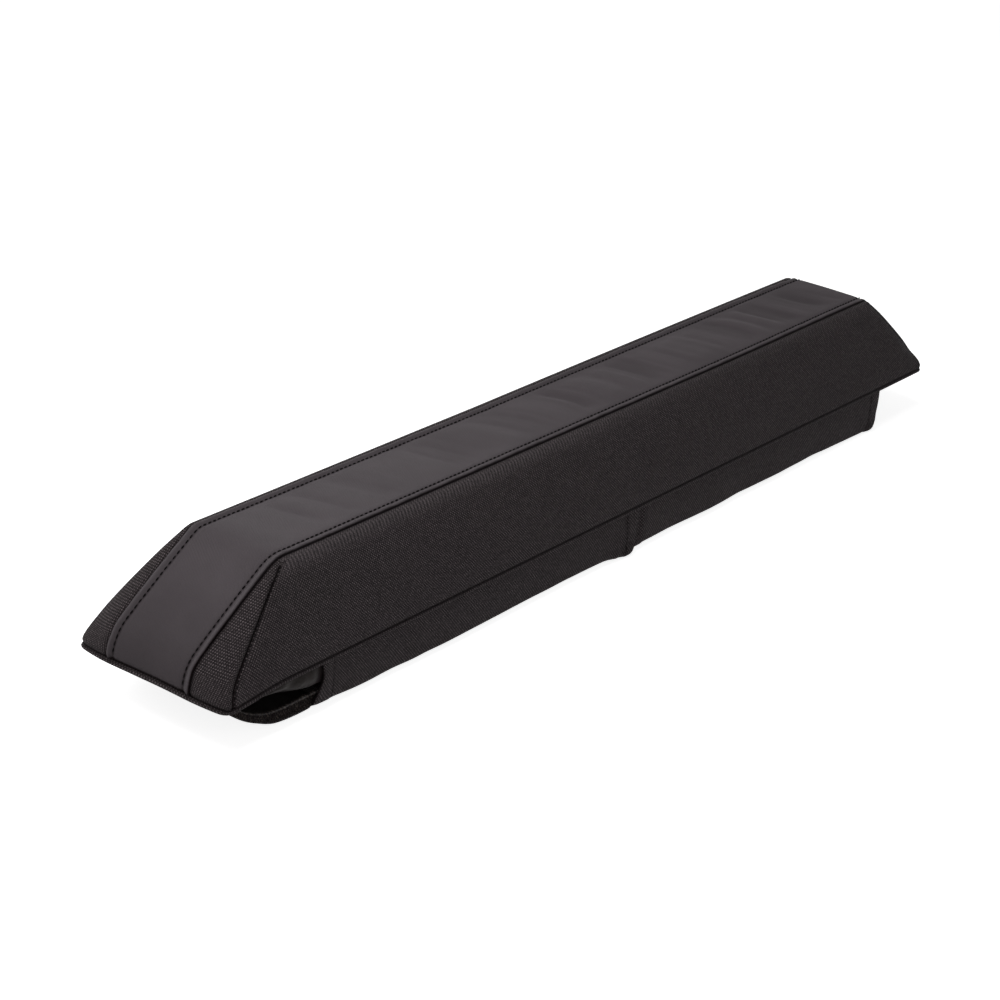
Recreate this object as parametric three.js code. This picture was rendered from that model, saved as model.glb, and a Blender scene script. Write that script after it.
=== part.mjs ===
// Roof rack pad: a long foam block with sloped ends in a sewn cover, with a cloth sleeve below it.
// The sleeve wraps round one cross bar of a vehicle's roof rack and closes under it with hook and loop.
//
// Millimetres. X runs along the bar from the near nose (-X) to the far nose (+X), Y runs across it
// from the front (-Y) to the rear (+Y), and Z is up. The origin is the middle of the footprint,
// on the surface that the empty sleeve lies on.
import * as THREE from "three";

// Pad, measured over its cover
const padLength = 776;
const padWidth = 110;
const padHeight = 62;
const crestLength = 644;
const crestWidth = 70;
const noseKneeHeight = 17;
const footBow = 4;
const slopeBow = 15;
const noseFlat = 25;
const cornerDroop = 3.5;
const droopLength = 55;
const bendRound = 25;
const shoulderRound = 9;
const noseRound = 24;
const flankRound = 6;
const footRound = 1.8;
const crestCrown = 1;
const flankCrown = 1.6;
const noseCrown = 0.6;

// Cover
const coverCloth = 0.9;
const seamGap = 0.3;
const fillGap = 0.4;
const layerGap = 0.3;
const topPanelWidth = 60;
const lipHeight = 2.8;
const weltWidth = 3.8;
const weltRise = 1.1;
const dartFootInset = 9;

// Sleeve
const sleeveHeight = 27;
const sleeveInset = 3.1;
const wrapCloth = 0.8;
const liningCloth = 0.4;
const foldRound = 4;
const nearHemInset = 84;
const farHemInset = 65;
const splitGap = 10;
const hemWidth = 12;
const hemRise = 0.4;
const hemCorner = 8;
const cornerFlare = 2.2;
const frontFlapShare = 0.52;
const frontFoldReach = 3.4;
const rearFlapInset = 8;
const loopTapeWidth = 18;
const loopTapeThickness = 1;
const hookTapeWidth = 16;
const hookTapeThickness = 0.8;
const tapeInset = 10;

// Open near end of the sleeve, where the rear wrap runs on and curls up to the nose
const noseInset = 11;
const curlStart = 70;
const curlHeight = 20.9;
const bindingHeight = 8;
const bindingThickness = 1.4;

// Derived places
const padHalfLength = padLength / 2;
const padHalfWidth = padWidth / 2;
const sleeveWidth = padWidth - 2 * sleeveInset;
const baseZ = sleeveHeight;
const seamZ = baseZ + lipHeight;
const crestZ = baseZ + padHeight;
const noseKnee = { reach: padHalfLength, z: baseZ + noseKneeHeight };
const flankKnee = { reach: padHalfWidth, z: seamZ };
const bendTurn = Math.atan((crestZ - noseKnee.z) / (padHalfLength - crestLength / 2));
const shoulderTurn = Math.atan((crestZ - seamZ) / (padHalfWidth - crestWidth / 2));
const floorLayer = wrapCloth / 2;
const nearHemX = -padHalfLength + nearHemInset;
const farHemX = padHalfLength - farHemInset;
const splitX = (nearHemX + farHemX) / 2;
const sections = {
  near: { start: nearHemX, end: splitX - splitGap / 2 },
  far: { start: splitX + splitGap / 2, end: farHemX },
};

const wovenBlack = new THREE.MeshStandardMaterial({ color: 0x2b292b, roughness: 0.9, metalness: 0 });
const coatedBlack = new THREE.MeshStandardMaterial({ color: 0x3d3a3d, roughness: 0.55, metalness: 0 });
const liningBlack = new THREE.MeshStandardMaterial({ color: 0x1f1c1f, roughness: 0.45, metalness: 0 });
const foamGrey = new THREE.MeshStandardMaterial({ color: 0x45474a, roughness: 0.95, metalness: 0 });
const tapeBlack = new THREE.MeshStandardMaterial({ color: 0x161517, roughness: 0.95, metalness: 0 });

const mix = THREE.MathUtils.lerp;
const ease = THREE.MathUtils.smoothstep;

// Form of the pad

// Distance from two faces joined by a round, where the faces turn away from each other by an angle.
function joined(a, b, radius, turn) {
  const cos = Math.cos(turn);
  const [u, v] = [a + radius, b + radius];
  const between = u > cos * v && v > cos * u;
  return between ? Math.sqrt((u * u + v * v - 2 * cos * u * v) / (1 - cos * cos)) - radius : Math.max(a, b);
}

// Distance of (reach, z) from a side that stands up to its knee and leans in from there to the
// crest, crowned on its way.
function leaningSide(reach, z, knee, crestReach, crown, radius) {
  const rise = crestZ - knee.z;
  const lean = knee.reach - crestReach;
  const share = THREE.MathUtils.clamp((z - knee.z) / rise, 0, 1);
  const flat = ((reach - knee.reach) * rise + (z - knee.z) * lean) / Math.hypot(rise, lean);
  const leaning = flat - crown * 4 * share * (1 - share);
  return joined(leaning, reach - knee.reach, radius, Math.atan(lean / rise));
}

// How far the nose falls back towards its corners: more on its slope than at its foot.
function noseBowAt(y, z) {
  const bow = mix(footBow, slopeBow, ease(z, seamZ, noseKnee.z + 6));
  return bow * Math.max((Math.abs(y) - noseFlat) / (padHalfWidth - noseFlat), 0) ** 2;
}

// How far the near nose's corners are pulled down by the sleeve.
function droopAt(x, y) {
  const along = ease(-x, padHalfLength - droopLength, padHalfLength);
  return cornerDroop * along * (y / padHalfWidth) ** 2;
}

// Signed distance, near enough, from the outside of the cover: 0 on it and negative inside.
function padForm(p) {
  const x = Math.abs(p.x) + noseBowAt(p.y, p.z);
  const y = Math.abs(p.y);
  const z = p.z + droopAt(p.x, p.y);
  const crest = z - crestZ + crestCrown * Math.min(y / (crestWidth / 2), 1) ** 2;
  const nose = leaningSide(x, z, noseKnee, crestLength / 2, noseCrown, noseRound);
  const flank = leaningSide(y, z, flankKnee, crestWidth / 2, flankCrown, flankRound);
  const ridge = joined(crest, nose, bendRound, bendTurn);
  const body = joined(ridge, flank, shoulderRound, shoulderTurn);
  return joined(body, baseZ - z, footRound, Math.PI / 2);
}

// Moves a point straight in or out until it lies at the given level of the pad's form.
function drape(start, level) {
  const step = 0.01;
  const p = start.clone();
  const slope = new THREE.Vector3();
  for (let pass = 0; pass < 12; pass += 1) {
    for (const axis of ["x", "y", "z"]) {
      const ahead = p.clone();
      const behind = p.clone();
      ahead[axis] += step;
      behind[axis] -= step;
      slope[axis] = (padForm(ahead) - padForm(behind)) / (2 * step);
    }
    p.addScaledVector(slope, (level - padForm(p)) / slope.lengthSq());
  }
  return p;
}

// Solids from sheets

// A closed solid from a sheet: each point has an outer and an inner place, each face is a ring of
// point numbers, counterclockwise from outside, and the free edges get walls.
function sheetSolid(points, faces) {
  const positions = [];
  for (const side of ["outer", "inner"]) {
    points.forEach((point) => positions.push(...point[side].toArray()));
  }
  const count = points.length;
  const index = [];
  const edges = new Set();
  for (const face of faces) {
    const ring = face.filter((id, i) => id !== face[(i + 1) % face.length]);
    for (let i = 1; i + 1 < ring.length; i += 1) {
      index.push(ring[0], ring[i], ring[i + 1]);
      index.push(ring[0] + count, ring[i + 1] + count, ring[i] + count);
    }
    ring.forEach((id, i) => edges.add(`${id} ${ring[(i + 1) % ring.length]}`));
  }
  for (const edge of edges) {
    const [a, b] = edge.split(" ").map(Number);
    if (!edges.has(`${b} ${a}`)) {
      index.push(b, a, a + count, b, a + count, b + count);
    }
  }
  const geometry = new THREE.BufferGeometry();
  geometry.setAttribute("position", new THREE.Float32BufferAttribute(positions, 3));
  geometry.setIndex(index);
  geometry.computeVertexNormals();
  return geometry;
}

// Point numbers of the faces of a grid with the given columns and rows, numbered row by row.
function gridFaces(columns, rows) {
  const faces = [];
  for (let row = 0; row + 1 < rows; row += 1) {
    for (let column = 0; column + 1 < columns; column += 1) {
      const id = row * columns + column;
      faces.push([id, id + 1, id + columns + 1, id + columns]);
    }
  }
  return faces;
}

// Evenly spaced values from start to end, both included.
function spaced(start, end, parts) {
  return Array.from({ length: parts + 1 }, (_, i) => mix(start, end, i / parts));
}

// Values from -1 to 1 that crowd towards both ends.
function crowded(parts) {
  return spaced(-Math.PI / 2, Math.PI / 2, parts).map(Math.sin);
}

// Places along the crest, from one bend (-1) to the other (1).
const crestStations = crowded(24);

function named(name, geometry, material) {
  const mesh = new THREE.Mesh(geometry, material);
  mesh.name = name;
  return mesh;
}

// Shares of the way down from the crest to the base seam, where a cover has its points.
const downShares = [0, 0.045, 0.1, 0.16, 0.27, 0.4, 0.52, 0.63, 0.73, 0.82, 0.91, 1];
const dartRow = 2;

// The unrounded corner edge of the pad at a share of the way down, from the bend to the nose corner.
function cornerAt(share) {
  const z = mix(crestZ, seamZ + seamGap / 2, share);
  const slope = (crestZ - z) / (crestZ - noseKnee.z);
  return {
    x: mix(crestLength / 2, padHalfLength, Math.min(slope, 1)),
    y: mix(crestWidth / 2, padHalfWidth, share),
    z,
  };
}

// Place of the dart along the pad at a share of the way down.
function dartX(share) {
  return Math.min(mix(crestLength / 2, padHalfLength, share), padHalfLength - dartFootInset);
}

// Foam core: one block of foam, cut with sloped ends, which fills the cover.
function foamCore() {
  const block = new THREE.BoxGeometry(2, 2, 1, 34, 8, 8);
  const place = block.getAttribute("position");
  const numbers = new Map();
  const positions = [];
  const level = -coverCloth - fillGap;
  const ids = Array.from({ length: place.count }, (_, i) => {
    const [u, v, w] = [place.getX(i), place.getY(i), 0.5 - place.getZ(i)];
    const key = [u, v, w].map((n) => n.toFixed(4)).join(" ");
    if (!numbers.has(key)) {
      const corner = w < 0.9 ? cornerAt(w / 0.875) : { ...cornerAt(1), z: baseZ };
      const y = v * corner.y;
      const start = new THREE.Vector3(u * (corner.x - noseBowAt(y, corner.z)), y, corner.z);
      start.z -= droopAt(start.x, y);
      numbers.set(key, positions.length / 3);
      positions.push(...drape(start, level).toArray());
    }
    return numbers.get(key);
  });
  const geometry = new THREE.BufferGeometry();
  geometry.setAttribute("position", new THREE.Float32BufferAttribute(positions, 3));
  geometry.setIndex(Array.from(block.getIndex().array, (i) => ids[i]));
  geometry.computeVertexNormals();
  return named("foam_core", geometry, foamGrey);
}

// A point of the cloth that lies on the pad: its outside may stand proud by the given rise.
function coverPoint(x, y, z, rise = 0) {
  const start = new THREE.Vector3(x, y, z - droopAt(x, y));
  return { outer: drape(start, rise), inner: drape(start, -coverCloth) };
}

// Top panel: coated cloth from nose to nose, its long edges turned under into a raised welt.
function topPanel() {
  const half = topPanelWidth / 2;
  const welt = [0, 0.35, 0.7, 1].map((t) => half - t * weltWidth);
  const inner = spaced(half - weltWidth - 1, 0, 3);
  const across = [...welt, ...inner];
  const ys = [...across.map((y) => -y), ...across.slice(0, -1).reverse()];
  const rise = (y) => {
    const t = (half - Math.abs(y)) / weltWidth;
    return t < 1 ? weltRise * (0.45 + 0.55 * Math.sin(Math.PI * t)) : 0;
  };
  const slope = downShares.slice(1).map(cornerAt);
  const crest = crestStations.map((u) => ({ x: (u * crestLength) / 2, z: crestZ }));
  const near = slope.map(({ x, z }) => ({ x: -x, z })).reverse();
  const points = [...near, ...crest, ...slope].flatMap(({ x, z }) =>
    ys.map((y) => coverPoint(x - Math.sign(x) * noseBowAt(y, z), y, z, rise(y))),
  );
  const faces = gridFaces(ys.length, points.length / ys.length).map((f) => f.toReversed());
  return named("top_panel", sheetSolid(points, faces), coatedBlack);
}

// Side panel: one woven piece for a long side. At each end it turns the corner on to the nose,
// where a dart takes up the spare cloth from just under the bend down to the corner of the base.
function sidePanel(name, side) {
  const crestShares = [0, 0.25, 0.45, 0.65, 0.83, 1];
  const noseShares = [0, 0.35, 0.65, 0.87, 1];
  const seamY = topPanelWidth / 2 + seamGap;
  const last = crestShares.length - 1;
  const points = [];
  const numbers = new Map();
  const numberOf = (key, x, y, z) => {
    if (!numbers.has(key)) {
      numbers.set(key, points.length);
      points.push(coverPoint(x, side * y, z));
    }
    return numbers.get(key);
  };
  // A row of the flank: the first few lie on the crest between the seam and the shoulder.
  const flankId = (row, u) => {
    const down = Math.max(row - last, 0);
    const corner = cornerAt(downShares[down]);
    const y = row < last ? mix(seamY, corner.y, crestShares[row]) : corner.y;
    const slit = down > dartRow ? seamGap / 2 : 0;
    return numberOf(`flank ${row} ${u}`, u * (dartX(downShares[down]) - slit), y, corner.z);
  };
  // A row of the nose, round the corner to the dart. The first row is the flank's end on the crest.
  const noseId = (down, column, end) => {
    const closed = column === last && down <= dartRow;
    if (down === 0 || closed) {
      return flankId(down === 0 ? column : down + last, end);
    }
    const corner = cornerAt(downShares[down]);
    const y = column === last ? corner.y : mix(seamY, corner.y, noseShares[column]);
    const onNose = corner.x - noseBowAt(y, corner.z);
    const x = column === last ? dartX(downShares[down]) + seamGap / 2 : onNose;
    return numberOf(`nose ${end} ${down} ${column}`, end * x, y, corner.z);
  };
  const faces = [];
  const addGrid = (rows, columns, id) => {
    for (let row = 0; row + 1 < rows; row += 1) {
      for (let column = 0; column + 1 < columns; column += 1) {
        faces.push([id(row, column), id(row, column + 1), id(row + 1, column + 1), id(row + 1, column)]);
      }
    }
  };
  const downRows = downShares.length;
  addGrid(last + downRows, crestStations.length, (row, column) => flankId(row, crestStations[column]));
  addGrid(downRows, last + 1, (row, column) => noseId(row, column, -1));
  addGrid(downRows, last + 1, (row, column) => noseId(row, last - column, 1));
  const outward = side < 0 ? faces.map((f) => f.toReversed()) : faces;
  return named(name, sheetSolid(points, outward), wovenBlack);
}

// Base panel: the woven underside, a shallow tray whose lip turns up to the seam all round.
function basePanel() {
  const lip = lipHeight - seamGap / 2;
  const edgeSteps = [lip, lip / 2, 0, -4, -9];
  const middleInset = padHalfWidth - noseFlat - 5;
  const stationsTo = (half, parts) => {
    const edge = edgeSteps.map((step) => half + step);
    const inner = crowded(parts).map((u) => u * (half - middleInset));
    return [...edge.map((n) => -n), ...inner, ...edge.reverse()];
  };
  const along = stationsTo(padHalfLength, 18);
  const across = stationsTo(padHalfWidth, 3);
  const points = across.flatMap((v) =>
    along.map((u) => {
      const up = Math.max(Math.abs(u) - padHalfLength, Math.abs(v) - padHalfWidth, 0);
      const y = (v * padHalfWidth) / (padHalfWidth + up);
      const x = (u * (padHalfLength - noseBowAt(y, baseZ))) / (padHalfLength + up);
      return coverPoint(x, y, baseZ + up);
    }),
  );
  const faces = gridFaces(along.length, across.length).map((f) => f.toReversed());
  return named("base_panel", sheetSolid(points, faces), wovenBlack);
}

// Height of the sleeve's floor: flat on the surface, and curling up to the nose at the near end.
function floorZ(x) {
  const past = Math.max(-padHalfLength + curlStart - x, 0) / (curlStart - noseInset);
  return curlHeight * past ** 2;
}

// Number of stations down a wrap's wall.
const wallStations = 5;

// Stations of a wrap's section, from the top of its wall, round the fold, to the end of its flap.
// Each station is a place (y, z) with the outward direction (ny, nz); the flap runs at lapZ(y).
function wrapSection(side, x, flapY, lapZ) {
  const wallY = side * (sleeveWidth / 2 - wrapCloth / 2);
  const floor = floorZ(x) + floorLayer;
  const top = baseZ - droopAt(x, wallY) - layerGap;
  const round = Math.min(foldRound, (top - floor) / 2);
  const stations = spaced(top, floor + round, wallStations - 1).map((z) => ({ y: wallY, z, ny: side, nz: 0 }));
  for (const t of spaced(0, Math.PI / 2, 5).slice(1)) {
    stations.push({
      y: wallY - side * round * (1 - Math.cos(t)),
      z: floor + round * (1 - Math.sin(t)),
      ny: side * Math.cos(t),
      nz: -Math.sin(t),
    });
  }
  const startY = wallY - side * round;
  for (const t of [0.02, 0.05, 0.09, 0.14, 0.3, 0.5, 0.75, 1]) {
    const y = mix(startY, flapY, t);
    stations.push({ y, z: floor + lapZ(y), ny: 0, nz: -1 });
  }
  return stations;
}

// A cloth sheet along the sleeve. Its stations give the middle of the wrap's own cloth, and depth is
// how far inside that the sheet's own middle lies.
function sleeveSheet(xs, sectionAt, thickness, depth, shape) {
  const points = [];
  for (const x of xs) {
    sectionAt(x).forEach((station, i, all) => {
      const { dx, out, rise } = shape(x, station, i / (all.length - 1));
      const place = (offset) =>
        new THREE.Vector3(
          x + dx,
          station.y + station.ny * offset + out,
          station.z + station.nz * offset,
        );
      points.push({ outer: place(thickness / 2 - depth + rise), inner: place(-thickness / 2 - depth) });
    });
  }
  return { points, rows: xs.length, columns: points.length / xs.length };
}

// How a wrap's end is finished: a turned hem, a lower corner cut round, and a slight flare there.
function hemShape(section, side, roundEnds) {
  return (x, station, along) => {
    const fromEnd = Math.min(x - section.start, section.end - x);
    const nearerEnd = x - section.start < section.end - x ? -1 : 1;
    const round = roundEnds.includes(nearerEnd) ? hemCorner : 0;
    const below = THREE.MathUtils.clamp((floorLayer + hemCorner - station.z) / hemCorner, 0, 1);
    const tuck = along > 0.6 ? 1 : below;
    const fade = Math.max(1 - fromEnd / hemWidth, 0);
    const pull = round * (1 - Math.sqrt(1 - tuck ** 2)) * fade;
    const isWall = Math.abs(station.ny) > 0.5 ? 1 : 0;
    return {
      dx: -nearerEnd * pull,
      out: side * cornerFlare * below * isWall * fade * (round ? 1 : 0),
      rise: fromEnd < hemWidth && isWall ? hemRise : 0,
    };
  };
}

const plain = () => ({ dx: 0, out: 0, rise: 0 });

// Places along a wrap's section, with a pair of stations at each hem line.
function wrapStations(section, parts) {
  const { start, end } = section;
  const hemStart = start + hemWidth;
  const hemEnd = end - hemWidth;
  const inner = spaced(hemStart + 0.6, hemEnd - 0.6, parts);
  return [start, start + hemWidth / 3, start + (2 * hemWidth) / 3, hemStart - 0.1, ...inner,
    hemEnd + 0.1, end - (2 * hemWidth) / 3, end - hemWidth / 3, end];
}

// The laps under the bar, from the floor up: rear wrap, loop tape, hook tape, front wrap.
const loopZ = wrapCloth + layerGap;
const hookZ = loopZ + loopTapeThickness + layerGap;
const frontLapZ = hookZ + hookTapeThickness + layerGap;
const frontWallY = -(sleeveWidth / 2 - wrapCloth / 2);
const lapEdgeY = frontWallY + foldRound + frontFoldReach;
const frontFlapY = frontWallY + frontFlapShare * sleeveWidth;
const rearFlapY = frontWallY + rearFlapInset;
const tapeStartY = rearFlapY + 1;

// The front flap lies on the floor beside its fold and steps up where it laps over the rear flap.
function frontLap(y) {
  return frontLapZ * ease(y, frontWallY + foldRound, lapEdgeY);
}

function frontSection(x) {
  return wrapSection(-1, x, frontFlapY, frontLap);
}

// The rear flap stops short under the front wrap, and runs out to the binding where it is open.
function rearFlapEdge(x) {
  const open = 1 - ease(x, nearHemX - 10, nearHemX - 2);
  const exposedY = frontWallY + bindingThickness + 3;
  return mix(rearFlapY, exposedY, open);
}

function rearSection(x) {
  return wrapSection(1, x, rearFlapEdge(x), () => 0);
}

// Front wrap: one half of the sleeve's front, which hangs from the base and folds under the bar.
function frontWrap(name, section, roundEnds) {
  const xs = wrapStations(section, 6);
  const grid = sleeveSheet(xs, frontSection, wrapCloth, 0, hemShape(section, -1, roundEnds));
  const faces = gridFaces(grid.columns, grid.rows);
  return named(name, sheetSolid(grid.points, faces), wovenBlack);
}

// Front lining: the smooth cloth that faces the bar, just inside the front wrap.
function frontLining(name, section) {
  const depth = (wrapCloth + liningCloth) / 2 + layerGap;
  const xs = spaced(section.start + hemWidth, section.end - hemWidth, 6);
  const grid = sleeveSheet(xs, frontSection, liningCloth, depth, plain);
  const faces = gridFaces(grid.columns, grid.rows);
  return named(name, sheetSolid(grid.points, faces), liningBlack);
}

// Places along the open mouth, close together on its curl, and along the near rear wrap past it.
const mouthEnd = nearHemX - 2;
const mouthXs = [...spaced(-padHalfLength + noseInset, mouthEnd - 10, 9), ...spaced(mouthEnd - 8, mouthEnd, 2)];
const nearWrapXs = spaced(mouthEnd + seamGap, sections.near.end, 8);
const nearLiningXs = [...mouthXs, ...spaced(nearHemX, nearHemX + tapeInset, 2), ...nearWrapXs.slice(1)];

// Rear wrap: the other half of the sleeve, whose flap goes outermost under the bar.
function rearWrap(name, xs, sectionAt = rearSection) {
  const grid = sleeveSheet(xs, sectionAt, wrapCloth, 0, plain);
  const faces = gridFaces(grid.columns, grid.rows).map((f) => f.toReversed());
  return named(name, sheetSolid(grid.points, faces), wovenBlack);
}

// Wall of the open mouth: the rear wrap's wall runs on to the near nose as a strip of its own.
function mouthWall() {
  return rearWrap("mouth_wall", mouthXs, (x) => {
    const wall = rearSection(x).slice(0, wallStations);
    wall.at(-1).z += seamGap;
    return wall;
  });
}

// Tongue of the open mouth: the floor, which curls up to the nose and is sewn to the wall's foot.
function mouthTongue() {
  return rearWrap("mouth_tongue", mouthXs, (x) => rearSection(x).slice(wallStations - 1));
}

// Rear lining: inside the rear wrap, up to the loop tape, and out to the binding where it is open.
function rearLining(name, xs) {
  const depth = (wrapCloth + liningCloth) / 2 + layerGap;
  const tapeEdge = tapeStartY + loopTapeWidth + layerGap;
  const edgeAt = (x) => {
    const open = 1 - ease(x, nearHemX - 2, nearHemX + tapeInset - 2);
    return mix(tapeEdge, rearFlapEdge(x) + 1, open);
  };
  const section = (x) => wrapSection(1, x, edgeAt(x), () => 0);
  const grid = sleeveSheet(xs, section, liningCloth, depth, plain);
  const faces = gridFaces(grid.columns, grid.rows).map((f) => f.toReversed());
  return named(name, sheetSolid(grid.points, faces), liningBlack);
}

// Binding: a ribbed tape along the open edge of the rear wrap, standing up towards the nose.
function edgeBinding() {
  const xs = spaced(-padHalfLength + noseInset, mouthEnd, 14);
  const outerY = frontWallY + 3 - layerGap;
  const points = xs.flatMap((x) => {
    const foot = floorZ(x);
    const head = Math.min(foot + bindingHeight, baseZ - droopAt(x, outerY) - layerGap);
    return spaced(foot, head, 3).map((z) => ({
      outer: new THREE.Vector3(x, outerY, z),
      inner: new THREE.Vector3(x, outerY + bindingThickness, z),
    }));
  });
  return named("edge_binding", sheetSolid(points, gridFaces(4, xs.length).map((f) => f.toReversed())), tapeBlack);
}

// Hook or loop tape: a flat strip sewn along a flap, its ends set in from the wrap's ends.
function closureTape(name, section, startY, width, z, thickness) {
  const length = section.end - section.start - 2 * (hemWidth + tapeInset);
  const geometry = new THREE.BoxGeometry(length, width, thickness);
  const mesh = named(name, geometry, tapeBlack);
  mesh.position.set((section.start + section.end) / 2, startY + width / 2, z + thickness / 2);
  return mesh;
}

const cover = new THREE.Group();
cover.add(
  foamCore(),
  topPanel(),
  sidePanel("side_panel_front", -1),
  sidePanel("side_panel_rear", 1),
  basePanel(),
);

const sleeve = new THREE.Group();
const farRearXs = spaced(sections.far.start, sections.far.end, 6);
sleeve.add(
  frontWrap("front_wrap_near", sections.near, [1]),
  frontWrap("front_wrap_far", sections.far, [1]),
  rearWrap("rear_wrap_near", nearWrapXs),
  rearWrap("rear_wrap_far", farRearXs),
  mouthWall(),
  mouthTongue(),
  frontLining("front_lining_near", sections.near),
  frontLining("front_lining_far", sections.far),
  rearLining("rear_lining_near", nearLiningXs),
  rearLining("rear_lining_far", farRearXs),
  edgeBinding(),
);
for (const [end, section] of Object.entries(sections)) {
  const hookInset = (loopTapeWidth - hookTapeWidth) / 2;
  sleeve.add(
    closureTape(`loop_tape_${end}`, section, tapeStartY, loopTapeWidth, loopZ, loopTapeThickness),
    closureTape(`hook_tape_${end}`, section, tapeStartY + hookInset, hookTapeWidth, hookZ, hookTapeThickness),
  );
}

const rackPad = new THREE.Group();
rackPad.add(cover, sleeve);

export default rackPad;
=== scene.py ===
import math

import bpy
import numpy as np
from mathutils import Matrix, Vector, kdtree


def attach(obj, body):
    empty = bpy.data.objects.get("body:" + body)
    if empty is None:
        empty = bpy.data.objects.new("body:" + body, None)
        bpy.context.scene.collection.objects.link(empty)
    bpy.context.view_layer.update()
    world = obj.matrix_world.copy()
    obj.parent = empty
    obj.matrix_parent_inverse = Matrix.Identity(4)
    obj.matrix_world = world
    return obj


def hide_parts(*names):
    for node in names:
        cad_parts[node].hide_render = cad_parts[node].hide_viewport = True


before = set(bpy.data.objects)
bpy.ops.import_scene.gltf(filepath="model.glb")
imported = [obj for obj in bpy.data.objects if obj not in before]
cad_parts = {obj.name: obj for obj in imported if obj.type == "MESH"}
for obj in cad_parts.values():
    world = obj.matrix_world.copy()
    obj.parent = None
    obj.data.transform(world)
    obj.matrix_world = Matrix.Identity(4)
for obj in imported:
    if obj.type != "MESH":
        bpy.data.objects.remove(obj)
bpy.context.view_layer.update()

scene = bpy.context.scene


# Shader tools. Every finish is built from these: a material with its constants, sums and textures
# as nodes, the cloth's own measure and painted shade and highlight as the pieces carry them, and relief as
# bump.
def new_material(name, **constants):
    """A material and the constants of its Principled shader; gives it, its tree and its shader."""
    made = bpy.data.materials.new(name)
    made.use_nodes = True
    shader = made.node_tree.nodes["Principled BSDF"]
    for label, value in constants.items():
        shader.inputs[label.replace("_", " ")].default_value = value
    return made, made.node_tree, shader


def effect_group(name, kind, inputs, outputs):
    """An empty node group of effects; gives it, its input node and its output node."""
    tree = bpy.data.node_groups.new(name, kind)
    for labels, way in ((inputs, "INPUT"), (outputs, "OUTPUT")):
        for label, value_kind in labels.items():
            tree.interface.new_socket(name=label, in_out=way, socket_type="NodeSocket" + value_kind)
    return tree, tree.nodes.new("NodeGroupInput"), tree.nodes.new("NodeGroupOutput")


def worked(tree, operation, a, b=None, c=None, clamp=False):
    """One sum inside a node tree: each term is a socket or a number."""
    node = tree.nodes.new("ShaderNodeMath")
    node.operation = operation
    node.use_clamp = clamp
    for slot, term in enumerate((a, b, c)):
        if isinstance(term, (int, float)):
            node.inputs[slot].default_value = term
        elif term is not None:
            tree.links.new(term, node.inputs[slot])
    return node.outputs[0]


def times(tree, a, b, clamp=False):
    return worked(tree, "MULTIPLY", a, b, clamp=clamp)


def plus(tree, a, b):
    return worked(tree, "ADD", a, b)


def less(tree, a, b):
    return worked(tree, "SUBTRACT", a, b)


def blended(tree, share, dark, light):
    """A colour between two, by a share; each colour is a socket or a tuple."""
    node = tree.nodes.new("ShaderNodeMix")
    node.data_type = "RGBA"
    tree.links.new(share, node.inputs["Factor"])
    for label, colour in (("A", dark), ("B", light)):
        if isinstance(colour, tuple):
            node.inputs[label].default_value = (*colour, 1)
        else:
            tree.links.new(colour, node.inputs[label])
    return node.outputs["Result"]


def texture(tree, kind, vector, out="Fac", **settings):
    """A noise, cell or wave texture that reads the given coordinates."""
    node = tree.nodes.new("ShaderNodeTex" + kind)
    tree.links.new(vector, node.inputs["Vector"])
    for label, value in settings.items():
        node.inputs[label].default_value = value
    return node.outputs[out]


def place_in(tree):
    return tree.nodes.new("ShaderNodeTexCoord").outputs["Object"]


def cloth_measure(tree):
    """The cloth's own measure in metres, from its UV map."""
    node = tree.nodes.new("ShaderNodeUVMap")
    node.uv_map = "cloth"
    return node.outputs["UV"]


def painted_light_of(tree):
    """The painted light each piece carries: painted shade below 0, where the cloth is sunk into a seam, and
    painted highlight above 0, where it stands proud.
    """
    node = tree.nodes.new("ShaderNodeAttribute")
    node.attribute_name = "painted_light"
    return node.outputs["Fac"]


def with_painted_light(tree, colour, painted_shade=0.9, painted_highlight=0.35):
    """Paints shade into a colour where the cloth is sunk into a seam, and a highlight along a proud edge.
    """
    painted_light = painted_light_of(tree)
    # The sunk share paints shade in near black, the proud share paints a highlight in grey.
    sunk, proud = times(tree, painted_light, -painted_shade, clamp=True), times(tree, painted_light, painted_highlight, clamp=True)
    return blended(tree, proud, blended(tree, sunk, colour, (0.0045, 0.0022, 0.0026)), (0.16, 0.15, 0.155))


def painted(tree, shader, colour, height, depth):
    """Gives a finish its colour, and its relief as bump of a depth in metres."""
    tree.links.new(colour, shader.inputs["Base Color"])
    bump = tree.nodes.new("ShaderNodeBump")
    bump.inputs["Strength"].default_value = 1.0
    bump.inputs["Distance"].default_value = depth
    tree.links.new(height, bump.inputs["Height"])
    tree.links.new(bump.outputs["Normal"], shader.inputs["Normal"])


def seen_or_mirrored(tree):
    """1 for a ray that shows the room itself: straight, mirrored or through glass."""
    ray = tree.nodes.new("ShaderNodeLightPath").outputs
    straight_or_mirrored = worked(tree, "MAXIMUM", ray["Is Camera Ray"], ray["Is Glossy Ray"])
    return worked(tree, "MAXIMUM", straight_or_mirrored, ray["Is Transmission Ray"])


# Camera. It stands in front of the near end, above the pad, and looks along it towards the far end.
# Its place and its turn are those of the photograph; the long lens keeps the far end large.
camera = bpy.data.objects.new("camera", bpy.data.cameras.new("camera"))
scene.collection.objects.link(camera)
scene.camera = camera
camera.data.sensor_fit = "HORIZONTAL"
camera.data.sensor_width = 36.0
camera.data.lens = 95.204
camera.data.clip_start = 0.05
camera.data.clip_end = 30.0
across_view = Vector((0.5948649, -0.7993683, 0.0845340))
up_view = Vector((0.2703541, 0.2980020, 0.9154799))
back_view = Vector((-0.7569969, -0.5217328, 0.3933835))
turn = Matrix((across_view, up_view, back_view)).transposed().to_4x4()
camera.matrix_world = Matrix.Translation((-1.318584, -0.859004, 0.686452)) @ turn


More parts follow.
